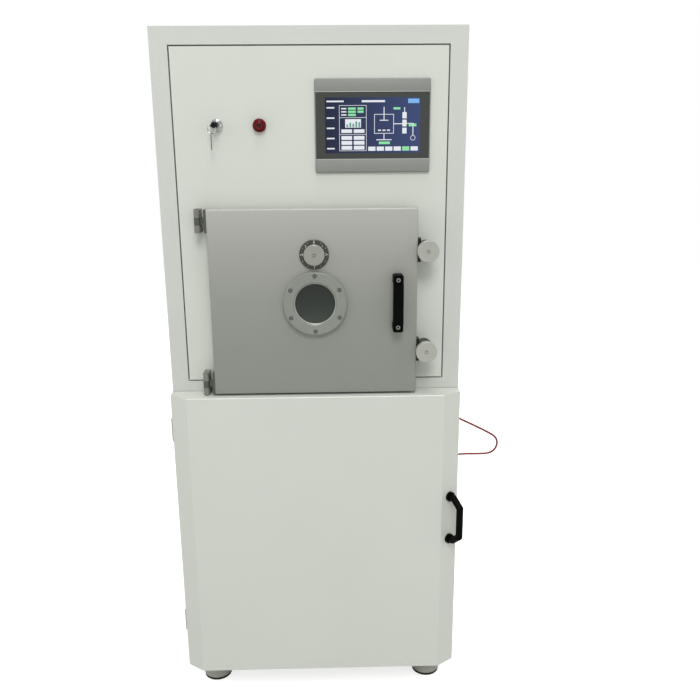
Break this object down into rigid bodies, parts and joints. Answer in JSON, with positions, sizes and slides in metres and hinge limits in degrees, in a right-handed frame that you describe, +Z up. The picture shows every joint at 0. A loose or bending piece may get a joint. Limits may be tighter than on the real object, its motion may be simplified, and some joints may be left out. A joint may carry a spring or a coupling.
{
  "type": "thin film deposition system",
  "caption": "Free-standing sputtering system: white two-tier cabinet, vacuum chamber door with viewport and screw clamps, touch panel, key switch, alarm, chamfered lower door.",
  "frame": {"origin": "on the floor, at the centre of the machine's plan, its free air tube not counted", "axes": "+Z up; the front with the chamber door faces -Y; +X to the right of someone facing the machine"},
  "size_m": [0.9198, 0.8484, 1.755],
  "materials": {
    "powder_coat": "satin",
    "door_paint": "blasted",
    "frame_paint": "satin",
    "stainless": "brushed",
    "zinc_steel": "satin",
    "chrome": "polished",
    "anodised": "satin",
    "hinge_steel": "satin",
    "bezel_grey": "moulded",
    "screen_glass": "gloss",
    "red_lens": "gloss",
    "black_nylon": "moulded",
    "rubber": "matte",
    "viewport_glass": "clear",
    "copper": "machined",
    "pump_paint": "satin",
    "case_paint": "satin",
    "hose_steel": "satin",
    "red_tube": "gloss"
  },
  "bodies": {
    "cabinet": {"lower_frame": "frame_paint", "lower_left_panel": "powder_coat", "lower_right_panel": "powder_coat", "lower_rear_panel": "powder_coat", "base_tray": "zinc_steel", "deck_plate": "zinc_steel", "upper_shell": "powder_coat", "front_panel": "powder_coat", "upper_rear_panel": "powder_coat", "foot_cups": "black_nylon", "foot_pads": "rubber", "foot_studs": "zinc_steel", "lower_hinge_fixed": "zinc_steel", "side_fitting": "black_nylon", "hmi_bezel": "bezel_grey", "hmi_screen": "screen_glass", "key_switch": "chrome", "alarm_lamp": "red_lens", "chamber_body": "stainless", "chamber_mounts": "frame_paint", "door_seal": "rubber", "door_hinge_brackets": "hinge_steel", "clamp_sockets": "stainless", "magnetron_heads": "stainless", "target_discs": "copper", "shutter_actuators": "anodised", "stage_feedthrough": "stainless", "stage_motor": "case_paint", "gate_valve": "anodised", "turbo_pump": "anodised", "foreline_hose": "hose_steel", "backing_pump": "pump_paint", "power_supplies": "case_paint", "vacuum_gauge": "anodised", "gas_panel": "stainless", "air_fittings": "black_nylon", "air_tube": "red_tube"},
    "chamber_door": {"chamber_door": "door_paint", "window_flange": "stainless", "window_glass": "viewport_glass", "door_screws": "zinc_steel", "door_handle": "black_nylon", "door_hinge_leaves": "hinge_steel", "clamp_brackets": "stainless", "shutter_dial": "anodised"},
    "window_shutter": {"shutter_knob": "anodised", "shutter_blade": "stainless"},
    "upper_washer": {"upper_clamp_washer": "zinc_steel"},
    "upper_knob": {"upper_clamp_knob": "anodised"},
    "lower_washer": {"lower_clamp_washer": "zinc_steel"},
    "lower_knob": {"lower_clamp_knob": "anodised"},
    "lower_door": {"lower_door": "powder_coat", "lower_door_handle": "black_nylon", "lower_door_hinge_leaves": "zinc_steel"},
    "stage": {"substrate_stage": "stainless"},
    "rear_target_shutter": {"target_shutter_1": "stainless"},
    "left_target_shutter": {"target_shutter_2": "stainless"},
    "right_target_shutter": {"target_shutter_3": "stainless"},
    "key": {"key": "zinc_steel"}
  },
  "joints": [
    {"name": "chamber_door_hinge", "type": "hinge", "parent": "cabinet", "child": "chamber_door", "pos_m": [-0.2735, -0.36677, 0.8905], "axis": [0, 0, -1], "range_deg": [0, 120]},
    {"name": "window_shutter_turn", "type": "hinge", "parent": "chamber_door", "child": "window_shutter", "pos_m": [0.0025, -0.37877, 1.239], "axis": [0, -1, 0], "range_deg": [0, 90]},
    {"name": "upper_clamp_feed", "type": "slide", "parent": "chamber_door", "child": "upper_washer", "axis": [0, 1, 0], "range_m": [0, 0.00525]},
    {"name": "upper_clamp_screw", "type": "hinge", "parent": "upper_washer", "child": "upper_knob", "pos_m": [0.2745, -0.37877, 1.246], "axis": [0, 1, 0], "range_deg": [0, 1080]},
    {"name": "lower_clamp_feed", "type": "slide", "parent": "chamber_door", "child": "lower_washer", "axis": [0, 1, 0], "range_m": [0, 0.00525]},
    {"name": "lower_clamp_screw", "type": "hinge", "parent": "lower_washer", "child": "lower_knob", "pos_m": [0.2745, -0.37877, 0.998], "axis": [0, 1, 0], "range_deg": [0, 1080]},
    {"name": "lower_door_hinge", "type": "hinge", "parent": "cabinet", "child": "lower_door", "pos_m": [-0.371, -0.33452, 0.097], "axis": [0, 0, -1], "range_deg": [0, 110]},
    {"name": "key_turn", "type": "hinge", "parent": "cabinet", "child": "key", "pos_m": [-0.221, -0.33377, 1.536], "axis": [0, 1, 0], "range_deg": [0, 90]},
    {"name": "stage_spin", "type": "hinge", "parent": "cabinet", "child": "stage", "pos_m": [0, -0.14377, 1.14], "axis": [0, 0, 1], "continuous": true},
    {"name": "rear_target_shutter_turn", "type": "hinge", "parent": "cabinet", "child": "rear_target_shutter", "pos_m": [0, 0.02223, 0.935], "axis": [0, 0, 1], "range_deg": [0, 75]},
    {"name": "left_target_shutter_turn", "type": "hinge", "parent": "cabinet", "child": "left_target_shutter", "pos_m": [-0.14376, -0.22677, 0.935], "axis": [0, 0, 1], "range_deg": [0, 75]},
    {"name": "right_target_shutter_turn", "type": "hinge", "parent": "cabinet", "child": "right_target_shutter", "pos_m": [0.14376, -0.22677, 0.935], "axis": [0, 0, -1], "range_deg": [0, 75]}
  ],
  "couplings": [
    {"joint": "upper_clamp_screw", "follows": "upper_clamp_feed", "rad_per_m": 3590.4},
    {"joint": "lower_clamp_screw", "follows": "lower_clamp_feed", "rad_per_m": 3590.4}
  ]
}
